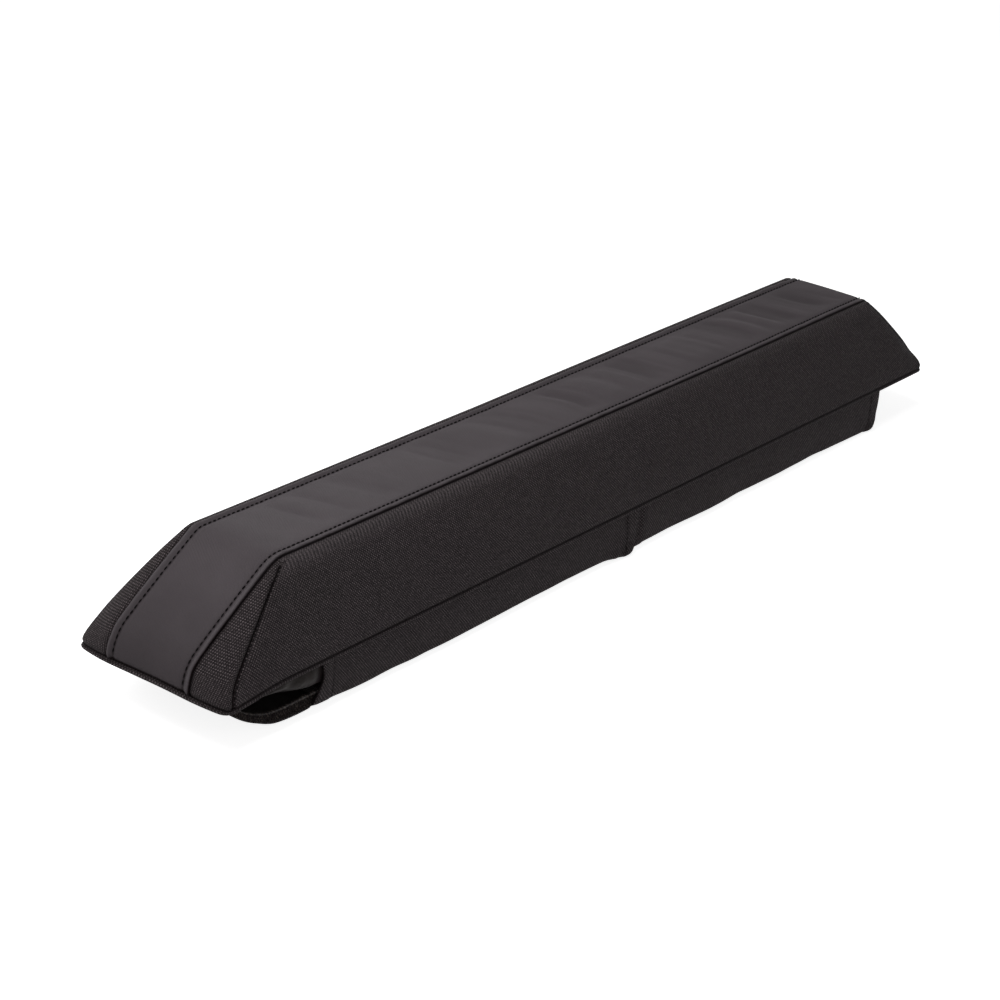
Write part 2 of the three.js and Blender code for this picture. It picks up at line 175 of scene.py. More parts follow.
# Studio. A plain white floor under one broad soft lamp overhead, a softer one beside the camera and
# a weak one behind the pad; the empty room around it is white where it is seen or mirrored.
floor_level = -0.0052
floor_mesh = bpy.data.meshes.new("floor")
corners = [(x, y, floor_level) for x, y in ((-9, -9), (9, -9), (9, 9), (-9, 9))]
floor_mesh.from_pydata(corners, [], [(0, 1, 2, 3)])
floor = bpy.data.objects.new("floor", floor_mesh)
scene.collection.objects.link(floor)

floor_paper, tree, shader = new_material("floor paper", Base_Color=(0.82, 0.82, 0.82, 1), Roughness=1.0,
                                         Specular_IOR_Level=0.0, Emission_Color=(1, 1, 1, 1))
tree.links.new(times(tree, seen_or_mirrored(tree), 0.85), shader.inputs["Emission Strength"])
floor_mesh.materials.append(floor_paper)

room = bpy.data.worlds.new("room")
scene.world = room
room.use_nodes = True
tree = room.node_tree
sky = blended(tree, seen_or_mirrored(tree), (0.13, 0.128, 0.128), (1, 1, 1))
tree.links.new(sky, tree.nodes["Background"].inputs["Color"])

lamps = {
    "overhead softbox": ((-0.65, 0.1, 1.25), (-0.2, 0.0, 0.05), 1.0, 11.0),
    "front softbox": ((-1.3, -1.2, 0.8), (-0.1, 0.0, 0.05), 1.0, 4.8),
    "rear softbox": ((-0.6, 1.5, 1.0), (-0.15, 0.0, 0.05), 1.2, 5.2),
}
for name, (place, aim, size, watts) in lamps.items():
    light = bpy.data.lights.new(name, "AREA")
    light.size = size
    light.energy = watts
    lamp = bpy.data.objects.new(name, light)
    lamp.location = place
    lamp.rotation_euler = (Vector(aim) - Vector(place)).to_track_quat("-Z", "Y").to_euler()
    scene.collection.objects.link(lamp)
scene.view_settings.view_transform = "Standard"


# Foam block. One block of firm grey foam with sloped ends, which gives the whole pad its form.
# It is cut from sheet foam and sits loose inside the sewn cover. Sizes are in millimetres.
half_length, half_width = 388.0, 55.0
crest_half_length, crest_half_width = 322.0, 35.0
base_z, seam_z, crest_z = 27.0, 29.8, 89.0
nose_knee_z = 44.0
foot_bow, slope_bow, nose_flat = 4.0, 15.0, 25.0
corner_droop, droop_length = 3.5, 55.0
nose_crown, flank_crown = 0.6, 1.6
nose_round, flank_round, shoulder_round, base_round = 24.0, 6.0, 9.0, 1.8
cover_cloth = 0.9
seam_gap = 0.3


def ease(value, start, end):
    share = np.clip((value - start) / (end - start), 0, 1)
    return share * share * (3 - 2 * share)


def mix(a, b, share):
    return a + (b - a) * share


def bell(value, width):
    return np.exp(-((value / width) ** 2))


def spots(x, y, z):
    """Points from their three coordinates, each a number or a grid of them."""
    return np.stack(np.broadcast_arrays(x, y, z), -1).astype(float)


def joined(a, b, radius, turn):
    """Distance from two faces joined by a round, where they turn away from each other by an angle."""
    cos = math.cos(turn)
    u, v = a + radius, b + radius
    between = (u > cos * v) & (v > cos * u)
    round_face = np.sqrt(np.maximum(u * u + v * v - 2 * cos * u * v, 0) / (1 - cos * cos)) - radius
    return np.where(between, round_face, np.maximum(a, b))


def leaning_side(reach, z, knee_reach, knee_z, crest_reach, crown, radius):
    """Distance from a side that stands up to its knee and leans in from there to the crest."""
    rise, lean = crest_z - knee_z, knee_reach - crest_reach
    share = np.clip((z - knee_z) / rise, 0, 1)
    flat = ((reach - knee_reach) * rise + (z - knee_z) * lean) / math.hypot(rise, lean)
    leaning = flat - crown * 4 * share * (1 - share)
    return joined(leaning, reach - knee_reach, radius, math.atan(lean / rise))


def nose_bow(y, z):
    """How far the nose falls back towards its corners."""
    bow = mix(foot_bow, slope_bow, ease(z, seam_z, nose_knee_z + 6))
    return bow * np.maximum((np.abs(y) - nose_flat) / (half_width - nose_flat), 0) ** 2


def droop(x, y):
    """How far the near nose's corners are pulled down by the sleeve."""
    share = np.where(y < 0, (y / half_width) ** 2, 0.25 * (y / half_width) ** 2)
    return corner_droop * ease(-x, half_length - droop_length, half_length) * share


def far_lift(x, y, z):
    """The crest rises a little towards its far end, more along the rear than along the front."""
    rear = 2.4 * (1 - (1 - np.clip((x + 60) / 380, 0, 1)) ** 1.6)
    front = 2.0 * ease(x, 120, 315)
    return mix(front, rear, np.clip(y / 70 + 0.5, 0, 1)) * np.clip((z - 50) / 39, 0, 1)


def pad_form(p):
    """Distance, near enough, from the outside of the cover: 0 on it and negative inside."""
    along, across, up = p[..., 0], p[..., 1], p[..., 2]
    hollow = 0.14 + 0.55 * ease(up, 31, 46) * (1 - ease(up, 68, 90))
    x = np.abs(along) + nose_bow(across, up) * (1 + hollow * ease(along, 200, 340))
    y = np.abs(across)
    z = up + droop(along, across)
    z = z - far_lift(along, across, z)
    bend_round = mix(mix(25.0, 10.0, ease(across, 5, 35)), 8.0, ease(along, 100, 300))
    crest = z - crest_z + np.minimum(y / crest_half_width, 1) ** 2
    nose = leaning_side(x, z, half_length, nose_knee_z, crest_half_length, nose_crown, nose_round)
    flank = leaning_side(y, z, half_width, seam_z, crest_half_width, flank_crown, flank_round)
    bend_turn = math.atan((crest_z - nose_knee_z) / (half_length - crest_half_length))
    shoulder_turn = math.atan((crest_z - seam_z) / (half_width - crest_half_width))
    ridge = joined(crest, nose, bend_round, bend_turn)
    body = joined(ridge, flank, shoulder_round, shoulder_turn)
    return joined(body, base_z - z, base_round, math.pi / 2)


def slope_of(p):
    """Outward direction of the form at each point, and how steep it is."""
    grown = np.empty_like(p)
    for axis in range(3):
        step = np.zeros(3)
        step[axis] = 0.02
        grown[..., axis] = (pad_form(p + step) - pad_form(p - step)) / 0.04
    return grown


def lay(starts):
    """Moves points straight in or out on to the form; gives their places and outward directions."""
    p = np.array(starts, dtype=float)
    for _ in range(9):
        steep = slope_of(p)
        p -= steep * (pad_form(p) / (steep**2).sum(-1))[..., None]
    out = slope_of(p)
    return p, out / np.linalg.norm(out, axis=-1, keepdims=True)


def corner_at(share):
    """The pad's unrounded corner edge at a share of the way down from the crest to the base seam."""
    z = mix(crest_z, seam_z + seam_gap / 2, share)
    down = np.minimum((crest_z - z) / (crest_z - nose_knee_z), 1)
    return mix(crest_half_length, half_length, down), mix(crest_half_width, half_width, share), z


def block_grids(along, across, down):
    """Starting points of the six faces of the block, each a grid that runs round it."""
    u = np.linspace(-1, 1, along + 1)
    v = np.linspace(-1, 1, across + 1)
    w = np.linspace(0, 1, down + 1)

    def place(u, v, w):
        u, v, w = np.broadcast_arrays(u, v, w)
        x, y, z = corner_at(np.minimum(w / 0.875, 1))
        z = np.where(w < 0.9, z, base_z)
        y = v * y
        x = u * (x - nose_bow(y, z))
        return spots(x, y, z - droop(x, y))

    top = place(u[:, None], v[None, :], np.zeros((1, 1)))
    base = place(u[:, None], v[None, ::-1], np.ones((1, 1)))
    front = place(u[:, None], np.full((1, 1), -1.0), w[None, ::-1])
    rear = place(u[:, None], np.full((1, 1), 1.0), w[None, :])
    near = place(np.full((1, 1), -1.0), v[:, None], w[None, :])
    far = place(np.full((1, 1), 1.0), v[:, None], w[None, ::-1])
    return [top, base, front, rear, near, far]


def piece_mesh(name, places, rings, cuts=None, painted_light=None):
    """A mesh in metres from places in millimetres, with the cloth's own measure as its UV map and its
    painted shade and highlight as a point attribute.
    """
    mesh = bpy.data.meshes.new(name)
    mesh.from_pydata((places / 1000).tolist(), [], rings)
    if cuts is not None:
        mesh.uv_layers.new(name="cloth").data.foreach_set("uv", np.asarray(cuts, dtype=np.float32).ravel())
    if painted_light is not None:
        mesh.attributes.new("painted_light", "FLOAT", "POINT").data.foreach_set("value", painted_light.astype(np.float32))
    mesh.shade_smooth()
    mesh.set_sharp_from_angle(angle=math.radians(58))
    mesh.update()
    piece = bpy.data.objects.new(name, mesh)
    scene.collection.objects.link(piece)
    return piece


def welded(grids):
    """Numbers the points of several grids so that points at one place share a number."""
    flat = np.concatenate([g.reshape(-1, 3) for g in grids])
    _, first, number = np.unique(np.round(flat * 100 + 0.217).astype(np.int64), axis=0,
                                 return_index=True, return_inverse=True)
    quads, count = [], 0
    for g in grids:
        ids = np.arange(g.shape[0] * g.shape[1]).reshape(g.shape[:2]) + count
        quads.append(np.stack([ids[:-1, :-1], ids[1:, :-1], ids[1:, 1:], ids[:-1, 1:]], -1).reshape(-1, 4))
        count += ids.size
    return first, number.ravel(), np.concatenate(quads)


def without_repeats(ring):
    return [n for i, n in enumerate(ring) if n != ring[i - 1]]


def foam_shape(along, across, down, level):
    """The whole form moved out by a level: its points, their outward directions and its faces."""
    grids = [lay(g) for g in block_grids(along, across, down)]
    first, number, quads = welded([p for p, _ in grids])
    places = np.concatenate([(p + out * level).reshape(-1, 3) for p, out in grids])[first]
    outward = np.concatenate([out.reshape(-1, 3) for _, out in grids])[first]
    rings = [r for r in map(without_repeats, number[quads].tolist()) if len(r) > 2]
    return places, outward, rings


def dressed(piece, finish, slot, *stands_for):
    """Gives a piece its finish, hangs it on the root body and hides the nodes it stands for; slot is not
    used.
    """
    piece.data.materials.append(finish)
    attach(piece, "root")
    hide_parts(*stands_for)


foam_finish, tree, shader = new_material("grey foam", Roughness=0.95)
cells = texture(tree, "Voronoi", place_in(tree), out="Distance", Scale=900.0)
mottle = texture(tree, "Noise", place_in(tree), Scale=60.0, Detail=3.0)
foam_colour = blended(tree, mottle, (0.045, 0.047, 0.05), (0.075, 0.077, 0.082))
painted(tree, shader, foam_colour, cells, depth=0.0006)

foam_play = 1.6
places, _, rings = foam_shape(along=110, across=16, down=10, level=-cover_cloth - foam_play)
foam_block = piece_mesh("foam_block", places, rings)
dressed(foam_block, foam_finish, "foam", "foam_core")


# Lie of the cover. The sewn cover is cut a little longer than the foam, so the cloth stands slack
# between its seams. A cloth simulation of the whole cover, held at its seams, gives that lie.
slack_share, settle_frames = 1.006, 20
least_rise, most_rise = -1.0, 2.2
held_line_y = 29.0


def settled_cover():
    """How far the cloth stands off the form: the places of a coarse cover, and its rise at each."""
    places, outward, rings = foam_shape(along=170, across=26, down=15, level=0.0)
    shell = piece_mesh("cover_trial", places, rings)
    shell.shape_key_add(name="sewn")
    cut = shell.shape_key_add(name="cut")
    longer = places / 1000
    longer[:, 0] *= slack_share
    cut.data.foreach_set("co", longer.astype(np.float32).ravel())
    near_seam = np.maximum.reduce([
        1 - ease(np.abs(np.abs(places[:, 1]) - held_line_y), 1.0, 4.5),
        1 - ease(places[:, 2], seam_z + 1.0, seam_z + 6.0),
    ])
    held = shell.vertex_groups.new(name="seams")
    for number, weight in enumerate(near_seam.tolist()):
        if weight > 0.01:
            held.add([number], weight, "REPLACE")
    cloth = shell.modifiers.new("cloth", "CLOTH")
    settings = {
        "quality": 6, "mass": 0.12, "tension_stiffness": 25, "compression_stiffness": 25,
        "shear_stiffness": 8, "bending_stiffness": 0.6, "tension_damping": 12, "compression_damping": 12,
        "air_damping": 4, "rest_shape_key": cut, "vertex_group_mass": held.name, "pin_stiffness": 1.0,
        "use_pressure": True, "uniform_pressure_force": 1.2,
    }
    for label, value in settings.items():
        setattr(cloth.settings, label, value)
    cloth.settings.effector_weights.gravity = 0
    cloth.collision_settings.use_collision = False
    cloth.point_cache.frame_start, cloth.point_cache.frame_end = 1, settle_frames
    for step in range(1, settle_frames + 1):
        scene.frame_set(step)
    done = shell.evaluated_get(bpy.context.evaluated_depsgraph_get())
    now = np.empty(len(places) * 3, dtype=np.float32)
    done.data.vertices.foreach_get("co", now)
    moved = ((now.reshape(-1, 3) * 1000 - places) * outward).sum(-1)
    scene.frame_set(1)
    trial_mesh = shell.data
    bpy.data.objects.remove(shell)
    bpy.data.meshes.remove(trial_mesh)
    print("cover slack mm", np.percentile(moved, [0, 5, 50, 95, 100]).round(2).tolist())
    return places, np.clip(moved, least_rise, most_rise)


slack_places, slack_rise = settled_cover()
cover_slack = kdtree.KDTree(len(slack_places))
for number, spot in enumerate(slack_places.tolist()):
    cover_slack.insert(spot, number)
cover_slack.balance()


def slack_at(places):
    """How far the slack cloth stands proud at each place on the form."""
    flat = places.reshape(-1, 3)
    rise = np.zeros(len(flat))
    for row, spot in enumerate([] if cover_slack is None else flat.tolist()):
        weight_sum = total = 0.0
        for _, number, away in cover_slack.find_n(spot, 7):
            weight = math.exp(-((away / 3.2) ** 2)) + 1e-9
            weight_sum += weight
            total += weight * slack_rise[number]
        rise[row] = total / weight_sum
    return rise.reshape(places.shape[:-1])


# Top panel. Smooth coated cloth, about 60 mm wide, that runs from the foot of one nose over the
# crest to the foot of the other. Its long edges are turned under and topstitched down in a welt.
top_half = 30.0
welt_width = 3.8
stitch_inset = 4.6


def lumps(u, v, seed):
    """Smooth unevenness from -1 to 1, about one lump to each unit of u and v."""
    u, v = np.broadcast_arrays(np.asarray(u, dtype=float), np.asarray(v, dtype=float))
    iu, iv = np.floor(u), np.floor(v)
    fu, fv = u - iu, v - iv
    fu, fv = fu * fu * (3 - 2 * fu), fv * fv * (3 - 2 * fv)

    def corner(i, j):
        value = np.sin(i * 127.1 + j * 311.7 + seed * 74.7) * 43758.5453
        return 2 * (value - np.floor(value)) - 1

    low = mix(corner(iu, iv), corner(iu + 1, iv), fu)
    high = mix(corner(iu, iv + 1), corner(iu + 1, iv + 1), fu)
    return mix(low, high, fv)


def graded(length, fine, coarse, growth=1.35):
    """Distances from 0 to length that start fine at both ends and are coarse between."""
    steps, reach, step = [0.0], 0.0, fine
    while reach + step < length / 2 and step < coarse:
        reach += step
        steps.append(reach)
        step *= growth
    middle = np.linspace(reach, length - reach, max(2, int(round((length - 2 * reach) / coarse)) + 1))
    return np.concatenate([steps[:-1], middle, length - np.array(steps[:-1][::-1])])


def so_far(steps):
    """Length so far at each point of a line, or of each row of a grid, from its steps."""
    return np.concatenate([np.zeros((*steps.shape[:-1], 1)), np.cumsum(steps, -1)], -1)


def along_profile(step):
    """Stations along the pad's long profile, foot to foot: place along the cloth, x and z."""
    z_foot = seam_z + seam_gap / 2
    line = np.array([(-half_length, z_foot), (-half_length, nose_knee_z), (-crest_half_length, crest_z),
                     (crest_half_length, crest_z), (half_length, nose_knee_z), (half_length, z_foot)])
    reach = so_far(np.hypot(*np.diff(line, axis=0).T))
    s = graded(reach[-1], 0.4, step)
    return s, np.interp(s, reach, line[:, 0]), np.interp(s, reach, line[:, 1])


def top_start(x, y, z):
    bow = np.sign(x) * nose_bow(y, z)
    return spots(x - bow, y, z - droop(x - bow, y))


def top_rise(s, x, y, places):
    """Relief of the top panel: welts, the sunk stitch lines, ripples across and small puckers; and its
    painted shade and highlight.
    """
    from_edge = top_half - np.abs(y)
    side = np.sign(y)
    bead = np.sqrt(np.maximum(1 - (1 - np.minimum(from_edge / 1.3, 1)) ** 2, 0))
    bead = bead * (1 - ease(from_edge, 1.5, 4.2)) * (1 + 0.12 * lumps(s / 9, side * 3, 11))
    sunk = -0.45 * (1 - ease(from_edge, stitch_inset + 0.3, stitch_inset + 2.6))
    pucker = 0.16 * lumps(s / 5.5, side * 7, 5) * bell(np.maximum(from_edge - 5.5, 0), 4.0)
    at_foot = ease(s, 3, 26) * ease(s.max() - s, 3, 26)
    open_cloth = ease(from_edge, stitch_inset + 1, stitch_inset + 13)
    lean = x + 0.22 * y + 6 * lumps(x / 60, y / 40, 3)
    swell = 0.8 + 0.2 * ease(x, -220, 20)
    on_crest = ease(crest_half_length - np.abs(x), -6, 22)
    ripple = swell * on_crest * (1.3 * lumps(lean / 11, y / 55, 21) + 0.45 * lumps(lean / 6.0, y / 38, 22))
    broad = 0.35 * lumps(s / 55, y / 40, 31) + 0.10 * lumps(s / 18, y / 22, 32)
    rise = (ripple + broad * at_foot + slack_at(places)) * open_cloth + pucker * at_foot
    pressed = 1 - 0.55 * bell(x - crest_half_length, 14)
    rise = sunk + 1.4 * bead * pressed + rise
    foot = np.minimum(s, s.max() - s)
    # Painted highlight on the welt's ridge and the ripples' crests; painted shade along the welt's outer
    # edge, in the stitch groove, at the foot seams of both noses and down the near nose's lower slope.
    painted_light = 0.5 * bell(from_edge - 1.3, 0.8) - 0.55 * bell(from_edge - stitch_inset, 0.75)
    painted_light = painted_light - 1.0 * bell(from_edge, 0.35) - 1.0 * bell(foot, 1.3)
    painted_light = painted_light - 0.32 * (1 - ease(foot, 4, 90)) * (x < 0) + 0.2 * ripple * open_cloth
    # Painted falloff of the light along the crest: lighter towards the near end, darker towards the far
    # end.
    crest_painted_falloff = 0.52 * (1 - ease(x, -260, 90)) - 0.12 * ease(x, 100, 330)
    painted_light = painted_light + crest_painted_falloff * on_crest * ease(from_edge, stitch_inset, stitch_inset + 2.4)
    return rise - 1.0 * bell(foot, 1.3), painted_light


def cloth_piece(name, patches, turned=False):
    """A closed cloth piece from grids of (outside, inside, cut, painted light): both faces and the free
    edges.
    """
    first, number, quads = welded([patch[0] for patch in patches])
    if turned:
        quads = quads[:, ::-1]
    outside = np.concatenate([p[0].reshape(-1, 3) for p in patches])[first]
    inside = np.concatenate([p[1].reshape(-1, 3) for p in patches])[first]
    cut = np.concatenate([p[2].reshape(-1, 2) for p in patches])
    painted_light = [p[3] if len(p) > 3 else np.zeros(p[0].shape[:2]) for p in patches]
    painted_light = np.concatenate([grid.ravel() for grid in painted_light])[first]
    ring = number[quads]
    count = len(first)
    a, b = ring.ravel(), np.roll(ring, -1, axis=1).ravel()
    there, back = (n.astype(np.int64) * (count + 1) + m for n, m in ((a, b), (b, a)))
    open_edge = (a != b) & ~np.isin(there, back)
    a, b = a[open_edge], b[open_edge]
    walls = np.stack([b, a, a + count, b + count], -1)
    rings = np.concatenate([ring, ring[:, ::-1] + count, walls])
    wall_cut = cut[first][np.stack([b, a, a, b], -1)]
    cuts = np.concatenate([cut[quads], cut[quads[:, ::-1]], wall_cut])
    kept_rings, kept_cuts = [], []
    for numbers, spots in zip(rings.tolist(), cuts.tolist()):
        keep = [i for i in range(4) if numbers[i] != numbers[i - 1]]
        if len(keep) > 2:
            kept_rings.append([numbers[i] for i in keep])
            kept_cuts.extend(spots[i] for i in keep)
    return piece_mesh(name, np.concatenate([outside, inside]), kept_rings, kept_cuts,
                      np.concatenate([painted_light, np.minimum(painted_light, 0)]))


def on_cloth(s, v):
    """The cloth's own measure in metres, for its UV map."""
    return np.stack(np.broadcast_arrays(s, v), -1) / 1000


def cover_faces(lain, outward, rise):
    """Outside and inside of a cover panel, from its place on the form and its rise there."""
    inner = np.minimum(rise, 0) - cover_cloth
    return lain + outward * rise[..., None], lain + outward * inner[..., None]


coated_finish, tree, shader = new_material("coated cloth", Specular_IOR_Level=0.06, Sheen_Weight=0.01,
                                           Sheen_Roughness=0.5)
uv = cloth_measure(tree)
cloud = texture(tree, "Noise", uv, Scale=22.0, Detail=6.0)
grain = texture(tree, "Noise", uv, Scale=1500.0, Detail=2.0)
stretch = tree.nodes.new("ShaderNodeMapping")
stretch.inputs["Scale"].default_value = (1700.0, 1700.0, 1.0)
stretch.inputs["Rotation"].default_value = (0, 0, 0.6)
tree.links.new(uv, stretch.inputs["Vector"])
twill = texture(tree, "Wave", stretch.outputs["Vector"], Scale=0.12, Distortion=1.2)
tone = plus(tree, times(tree, cloud, 0.7), times(tree, grain, 0.3))
coated_colour = blended(tree, tone, (0.050, 0.0430, 0.0465), (0.098, 0.0845, 0.0912))
tree.links.new(plus(tree, times(tree, grain, 0.12), 0.62), shader.inputs["Roughness"])
relief = plus(tree, times(tree, grain, 0.6), times(tree, twill, 0.25))
painted(tree, shader, with_painted_light(tree, coated_colour), relief, depth=0.00014)

edge_turn = (1 - np.cos(np.linspace(0, math.pi, 15))) / 2 * welt_width
beside_welt, open_columns = [0.35, 0.8, 1.4, 2.2, 3.2], np.linspace(4.6, top_half - welt_width, 13)
inner_steps = welt_width + np.concatenate([beside_welt, open_columns])
half_columns = top_half - np.concatenate([edge_turn, inner_steps])
ys = np.concatenate([-half_columns, half_columns[:-1][::-1]])
s, xs, zs = along_profile(2.1)
lain, outward = lay(top_start(xs[:, None], ys[None, :], zs[:, None]))
rise, painted_light = top_rise(s[:, None], xs[:, None], ys[None, :], lain)
top_patch = (*cover_faces(lain, outward, rise), on_cloth(s[:, None], ys[None, :]), painted_light)
top_panel = cloth_piece("top_panel_cloth", [top_patch])
dressed(top_panel, coated_finish, "coated_cloth", "top_panel")


# Side panels. Tough woven cloth, one piece for each long side. Each is sewn under the top panel's
# welt, turns the corner on to both noses, and is taken in there by a dart down to the base corner.
dart_foot_x = half_length - 9.0
dart_top = 0.035
dart_blend = 8.0
flank_girth, corner_length = 59.05, 92.0


def dart_x(share):
    """Where the dart runs: down the corner edge, easing into an upright foot."""
    edge = mix(crest_half_length, half_length, share)
    part = np.clip(0.5 + 0.5 * (dart_foot_x - edge) / dart_blend, 0, 1)
    return mix(dart_foot_x, edge, part) - dart_blend * part * (1 - part)


thread_group, given, result = effect_group(
    "woven threads", "ShaderNodeTree",
    {"Cloth": "Vector", "Warp Pitch": "Float", "Weft Pitch": "Float", "Slub": "Float"},
    {"Height": "Float", "Gap Shade": "Float", "Tone": "Float"},
)
tree = thread_group
slub = texture(tree, "Noise", given.outputs["Cloth"], Scale=260.0, Detail=2.0)
drift = texture(tree, "Noise", given.outputs["Cloth"], Scale=45.0, Detail=3.0)
split = tree.nodes.new("ShaderNodeSeparateXYZ")
tree.links.new(given.outputs["Cloth"], split.inputs["Vector"])
wander = worked(tree, "MULTIPLY_ADD", drift, 6.0, slub)
shift = times(tree, less(tree, wander, 3.5), given.outputs["Slub"])


def threads(axis, pitch):
    """Count of threads so far along one direction of the cloth, drawn a little uneven."""
    count = worked(tree, "DIVIDE", times(tree, split.outputs[axis], 1000.0), given.outputs[pitch])
    return plus(tree, count, shift)


warp, weft = threads("X", "Warp Pitch"), threads("Y", "Weft Pitch")
round_warp, round_weft = (
    worked(tree, "ABSOLUTE", worked(tree, "SINE", times(tree, count, math.pi))) for count in (warp, weft)
)
warp_number, weft_number = (worked(tree, "FLOOR", count) for count in (warp, weft))
odd = worked(tree, "FLOORED_MODULO", plus(tree, warp_number, weft_number), 2.0)
crossing = tree.nodes.new("ShaderNodeCombineXYZ")
tree.links.new(warp_number, crossing.inputs["X"])
tree.links.new(weft_number, crossing.inputs["Y"])
speck = texture(tree, "WhiteNoise", crossing.outputs["Vector"], out="Value")
warp_up = worked(tree, "POWER", times(tree, round_warp, round_weft), 0.6)
weft_up = times(tree, times(tree, round_weft, round_warp), 0.22)
height = plus(tree, times(tree, odd, warp_up), times(tree, less(tree, 1.0, odd), weft_up))
# The painted highlight's mask also draws the threads into ribs, as relief.
pulled = times(tree, painted_light_of(tree), 2.4, clamp=True)
even_warp = times(tree, less(tree, warp, shift), 2.25)
rib = worked(tree, "MULTIPLY_ADD", worked(tree, "SINE", even_warp), 0.5, 0.5)
height = plus(tree, height, times(tree, pulled, less(tree, rib, height)))
tree.links.new(height, result.inputs["Height"])
# Painted shade in the gaps, where the threads dip.
tree.links.new(worked(tree, "POWER", less(tree, 1.0, height), 1.25), result.inputs["Gap Shade"])
fuzz = texture(tree, "Noise", given.outputs["Cloth"], Scale=620.0, Detail=1.0)
fibres = worked(tree, "MULTIPLY_ADD", slub, 0.2, times(tree, fuzz, 0.4))
uneven = plus(tree, times(tree, drift, 0.15), fibres)
tree.links.new(plus(tree, uneven, times(tree, speck, 0.35)), result.inputs["Tone"])


def woven(name, dark, light, gap_shade, pitches, roughness, depth, contrast=1.0):
    """A woven cloth's finish: thread colours, painted shade in the gaps between threads, and the threads'
    relief.
    """
    made, tree, shader = new_material(name, Roughness=roughness, Specular_IOR_Level=0.04, Sheen_Weight=0.02,
                                      Sheen_Roughness=0.6)
    weave = tree.nodes.new("ShaderNodeGroup")
    weave.node_tree = thread_group
    tree.links.new(cloth_measure(tree), weave.inputs["Cloth"])
    for label, value in (("Warp Pitch", pitches[0]), ("Weft Pitch", pitches[1]), ("Slub", 0.18)):
        weave.inputs[label].default_value = value
    tone = worked(tree, "MULTIPLY_ADD", weave.outputs["Tone"], contrast, 0.5 - 0.5 * contrast, clamp=True)
    threads_and_gap_shade = blended(tree, weave.outputs["Gap Shade"], blended(tree, tone, dark, light), gap_shade)
    painted(tree, shader, with_painted_light(tree, threads_and_gap_shade), weave.outputs["Height"], depth)
    return made


woven_finish = woven(
    "woven cloth", dark=(0.012, 0.0100, 0.0106), light=(0.197, 0.163, 0.171), gap_shade=(0.0050, 0.0041, 0.0043),
    pitches=(1.02, 1.02), roughness=0.70, depth=0.00045,
)


def side_relief(from_seam, from_dart, from_base, share, x, v, seed, roll):
    """Relief of a side panel: its edges sink into the seams, and the cloth swells between them; and its
    painted shade and highlight.
    """
    tuck = -0.9 * bell(from_seam, 1.5) + roll * bell(from_seam - 5.5, 3.6)
    dart = -1.25 * bell(from_dart, 1.2) * ease(share, dart_top * 0.2, dart_top + 0.02)
    foot = -0.8 * bell(from_base, 1.2)
    free = ease(from_seam, 4.6, 14) * ease(from_dart, 0, 10) * ease(from_base, 0, 8)
    swell = 0.45 * lumps(x / 70, v / 45, seed) + 0.22 * lumps(x / 24, v / 38, seed + 1)
    fine = 0.10 * lumps(x / 9, v / 16, seed + 2) * bell(from_seam - 8, 9)
    beside = 0.35 * bell(from_dart - 3.2, 2.2) * ease(share, dart_top, 0.3)
    # Painted shade in the seams at the welt and at the base and along the dart; a painted highlight in a
    # band along the shoulder, fading towards the far end, which also draws the weave into ribs.
    painted_light = -1.1 * bell(from_seam, 1.2) - 1.1 * bell(from_base, 0.9)
    painted_light = painted_light - 1.2 * bell(from_dart, 1.0) * ease(share, dart_top * 0.2, dart_top)
    ribs_and_highlight_band = mix(1, 0.3, ease(x, -150, 150))
    painted_light = painted_light + 0.35 * np.minimum(roll, 1) * ribs_and_highlight_band * bell(from_seam - 7.5, 4.5)
    return tuck + dart + foot + beside + (swell + fine) * free, painted_light


